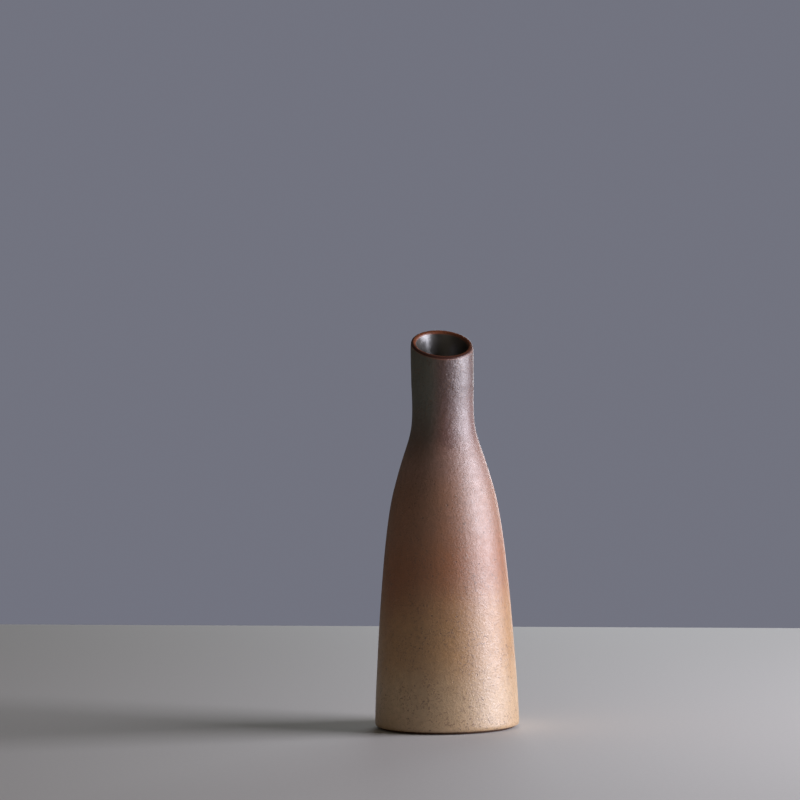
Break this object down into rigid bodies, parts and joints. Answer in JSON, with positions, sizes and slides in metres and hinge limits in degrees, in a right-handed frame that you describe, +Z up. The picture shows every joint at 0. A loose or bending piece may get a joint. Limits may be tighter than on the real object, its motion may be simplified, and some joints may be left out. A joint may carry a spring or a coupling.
{
  "type": "bud vase",
  "caption": "Bottle-shaped stoneware bud vase with a straight narrow neck, a slanted mouth, a satin outer glaze shading from sand to dark brown, and a dark satin liner.",
  "frame": {"origin": "centre of the foot, on the surface the vase stands on", "axes": "+Z up along the neck; the low side of the slanted mouth faces -Y and its high side +Y; +X completes the right-handed frame"},
  "size_m": [0.0726, 0.0726, 0.2],
  "materials": {
    "fired_clay": "matte",
    "satin_glaze": "satin",
    "liner_glaze": "satin"
  },
  "bodies": {
    "root": {"clay_body": "fired_clay", "outer_glaze": "satin_glaze", "liner_glaze": "liner_glaze"}
  },
  "joints": []
}
